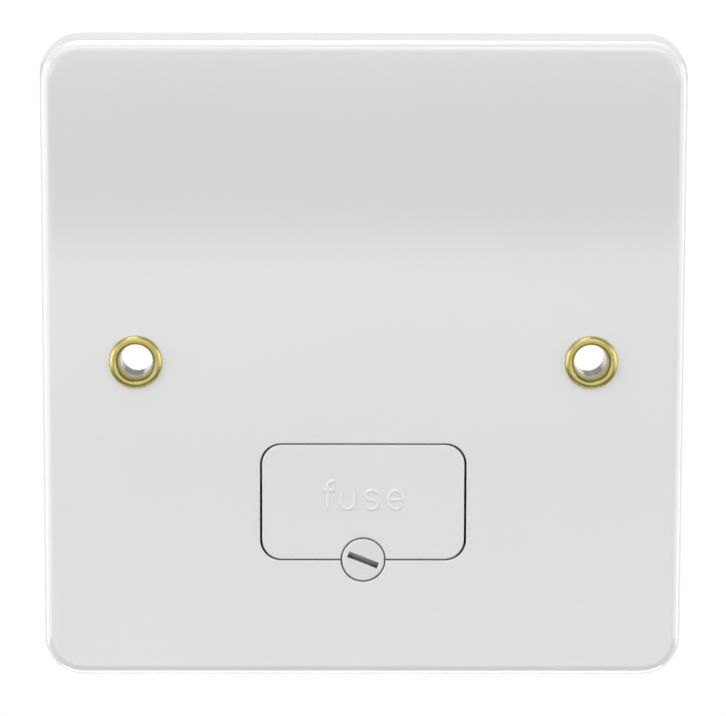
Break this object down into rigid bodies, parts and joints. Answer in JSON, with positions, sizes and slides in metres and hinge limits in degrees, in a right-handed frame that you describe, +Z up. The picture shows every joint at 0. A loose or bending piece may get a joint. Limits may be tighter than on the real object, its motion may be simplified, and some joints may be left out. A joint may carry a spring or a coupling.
{
  "type": "fused spur unit",
  "caption": "Square white wall plate with brass fixing eyelets, a pull-out fuse carrier locked by a slotted screw and a terminal housing behind.",
  "frame": {"origin": "centre of the plate on the wall plane, midway between the fixing holes", "axes": "+X to the right seen from the front, +Y into the wall, +Z up"},
  "size_m": [0.086, 0.0258, 0.086],
  "materials": {
    "plate_white": "glossy moulded",
    "carrier_white": "glossy moulded",
    "screw_white": "satin moulded",
    "housing_white": "satin moulded",
    "eyelet_brass": "bright turned",
    "terminal_brass": "machined",
    "strip_brass": "rolled",
    "plated_steel": "zinc plated",
    "fuse_ceramic": "unglazed",
    "fuse_cap_metal": "nickel plated"
  },
  "bodies": {
    "unit": {"front_plate": "plate_white", "eyelet_left": "eyelet_brass", "eyelet_right": "eyelet_brass", "rear_housing": "housing_white", "housing_screws": "plated_steel", "screw_insert": "terminal_brass", "supply_clip": "strip_brass", "load_clip": "strip_brass", "neutral_link": "strip_brass", "earth_strap": "strip_brass", "live_supply_block": "terminal_brass", "neutral_supply_block": "terminal_brass", "earth_supply_block": "terminal_brass", "earth_load_block": "terminal_brass", "neutral_load_block": "terminal_brass", "live_load_block": "terminal_brass"},
    "fuse_drawer": {"fuse_carrier": "carrier_white", "fuse_tube": "fuse_ceramic", "fuse_cap_left": "fuse_cap_metal", "fuse_cap_right": "fuse_cap_metal", "fuse_element": "fuse_cap_metal"},
    "lock_screw": {"carrier_screw": "screw_white"},
    "live_supply_clamp": {"live_supply_screw": "plated_steel"},
    "neutral_supply_clamp": {"neutral_supply_screw": "plated_steel"},
    "earth_supply_clamp": {"earth_supply_screw": "plated_steel"},
    "earth_load_clamp": {"earth_load_screw": "plated_steel"},
    "neutral_load_clamp": {"neutral_load_screw": "plated_steel"},
    "live_load_clamp": {"live_load_screw": "plated_steel"}
  },
  "joints": [
    {"name": "carrier_slide", "type": "slide", "parent": "unit", "child": "fuse_drawer", "axis": [0, -1, 0], "range_m": [0, 0.018]},
    {"name": "lock_screw_turn", "type": "hinge", "parent": "fuse_drawer", "child": "lock_screw", "pos_m": [0, -0.0054, -0.02668], "axis": [0, -1, 0], "range_deg": [0, 2400]},
    {"name": "live_supply_clamping", "type": "slide", "parent": "unit", "child": "live_supply_clamp", "axis": [0, -1, 0], "range_m": [0, 0.0036]},
    {"name": "neutral_supply_clamping", "type": "slide", "parent": "unit", "child": "neutral_supply_clamp", "axis": [0, -1, 0], "range_m": [0, 0.0036]},
    {"name": "earth_supply_clamping", "type": "slide", "parent": "unit", "child": "earth_supply_clamp", "axis": [0, -1, 0], "range_m": [0, 0.0036]},
    {"name": "earth_load_clamping", "type": "slide", "parent": "unit", "child": "earth_load_clamp", "axis": [0, -1, 0], "range_m": [0, 0.0036]},
    {"name": "neutral_load_clamping", "type": "slide", "parent": "unit", "child": "neutral_load_clamp", "axis": [0, -1, 0], "range_m": [0, 0.0036]},
    {"name": "live_load_clamping", "type": "slide", "parent": "unit", "child": "live_load_clamp", "axis": [0, -1, 0], "range_m": [0, 0.0036]}
  ]
}
